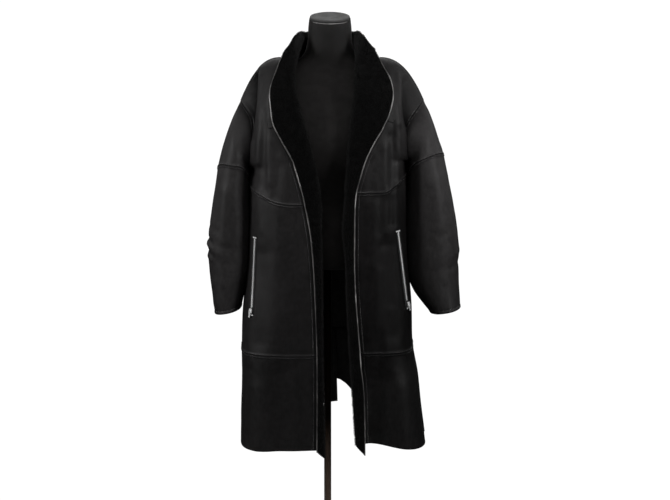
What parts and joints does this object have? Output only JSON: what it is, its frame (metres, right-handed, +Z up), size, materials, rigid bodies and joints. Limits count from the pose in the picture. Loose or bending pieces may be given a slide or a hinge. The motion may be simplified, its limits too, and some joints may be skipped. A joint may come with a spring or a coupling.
{
  "type": "long shearling coat on a dress form and stand",
  "caption": "Long leather-out shearling coat with a fur shawl collar and turned-back front edges, worn open on a limbless dress form with a pole and round foot.",
  "frame": {"origin": "middle of the foot's underside, on the pole's axis", "axes": "+Z up along the pole, -Y the way the coat faces, +X to the viewer's right"},
  "size_m": [0.6534, 0.373, 1.5044],
  "materials": {
    "leather": "black smooth leather, satin",
    "fur": "short dense black fur",
    "jersey": "black jersey cover",
    "cap": "grey matte",
    "wood": "dark brown varnished",
    "foot": "black satin",
    "zip": "metal teeth on tape",
    "metal": "polished nickel"
  },
  "bodies": {
    "coat_on_form": {"back_lower_left": "leather", "back_lower_right": "leather", "back_middle": "leather", "back_upper": "leather", "collar_left": "fur", "collar_right": "fur", "form_neck_cap": "cap", "form_torso": "jersey", "front_lower_left": "leather", "front_lower_right": "leather", "front_middle_left": "leather", "front_middle_right": "leather", "front_upper_left": "leather", "front_upper_right": "leather", "sleeve_lower_left": "leather", "sleeve_lower_right": "leather", "sleeve_upper_left": "leather", "sleeve_upper_right": "leather", "stand_collar": "foot", "stand_foot": "foot", "stand_pole": "wood", "tab_left": "leather", "tab_right": "leather", "zip_left": "zip", "zip_left_bottom_bar": "metal", "zip_left_slider": "metal", "zip_left_top_bar": "metal", "zip_right": "zip", "zip_right_bottom_bar": "metal", "zip_right_slider": "metal", "zip_right_top_bar": "metal"},
    "zip_left_pull": {"zip_left_pull": "metal"},
    "zip_right_pull": {"zip_right_pull": "metal"}
  },
  "joints": [
    {"name": "zip_left_pull_swing", "type": "hinge", "parent": "coat_on_form", "child": "zip_left_pull", "pos_m": [-0.19763, -0.11783, 0.75523], "axis": [-0.6075, 0.7937, 0.0302], "range_deg": [0, 160]},
    {"name": "zip_right_pull_swing", "type": "hinge", "parent": "coat_on_form", "child": "zip_right_pull", "pos_m": [0.20908, -0.1065, 0.77101], "axis": [-0.4543, -0.8888, -0.0602], "range_deg": [0, 160]}
  ]
}
